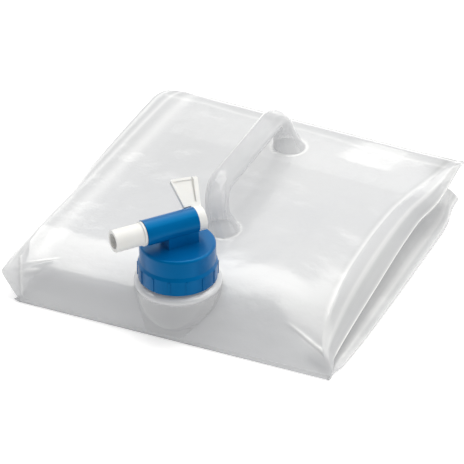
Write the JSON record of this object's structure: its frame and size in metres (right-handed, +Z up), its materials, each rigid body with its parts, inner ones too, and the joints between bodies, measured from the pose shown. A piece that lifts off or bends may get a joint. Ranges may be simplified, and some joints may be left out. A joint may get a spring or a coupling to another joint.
{
  "type": "folding water canister",
  "caption": "Empty folding water canister of translucent film with a moulded handle, an upright neck and a blue screw cap that carries a turning dispensing tap.",
  "frame": {"origin": "on the ground under the bag, near the middle of its flat underside", "axes": "+X along the front edge of the bag to the right, +Y from the front edge to the back edge, +Z up"},
  "size_m": [0.2626, 0.2808, 0.1011],
  "materials": {
    "film": "milky translucent film, softly glossy",
    "seal": "matte foam",
    "cap": "blue, glossy",
    "core": "off-white, satin"
  },
  "bodies": {
    "canister": {"canister": "film"},
    "seal": {"sealing_ring": "seal"},
    "cap": {"tap_cap": "cap"},
    "core": {"tap_core": "core"}
  },
  "joints": [
    {"name": "cap_lift", "type": "slide", "parent": "canister", "child": "seal", "axis": [0, 0, 1], "range_m": [0, 0.012]},
    {"name": "cap_turn", "type": "hinge", "parent": "seal", "child": "cap", "pos_m": [-0.0065, -0.0935, 0.05], "axis": [0, 0, 1], "range_deg": [0, 720]},
    {"name": "tap_turn", "type": "hinge", "parent": "cap", "child": "core", "pos_m": [-0.0065, -0.0935, 0.0796], "axis": [0.6293, 0.7771, 0], "range_deg": [0, 90]}
  ],
  "couplings": [
    {"joint": "cap_lift", "follows": "cap_turn", "m_per_rad": 0.00095493}
  ]
}
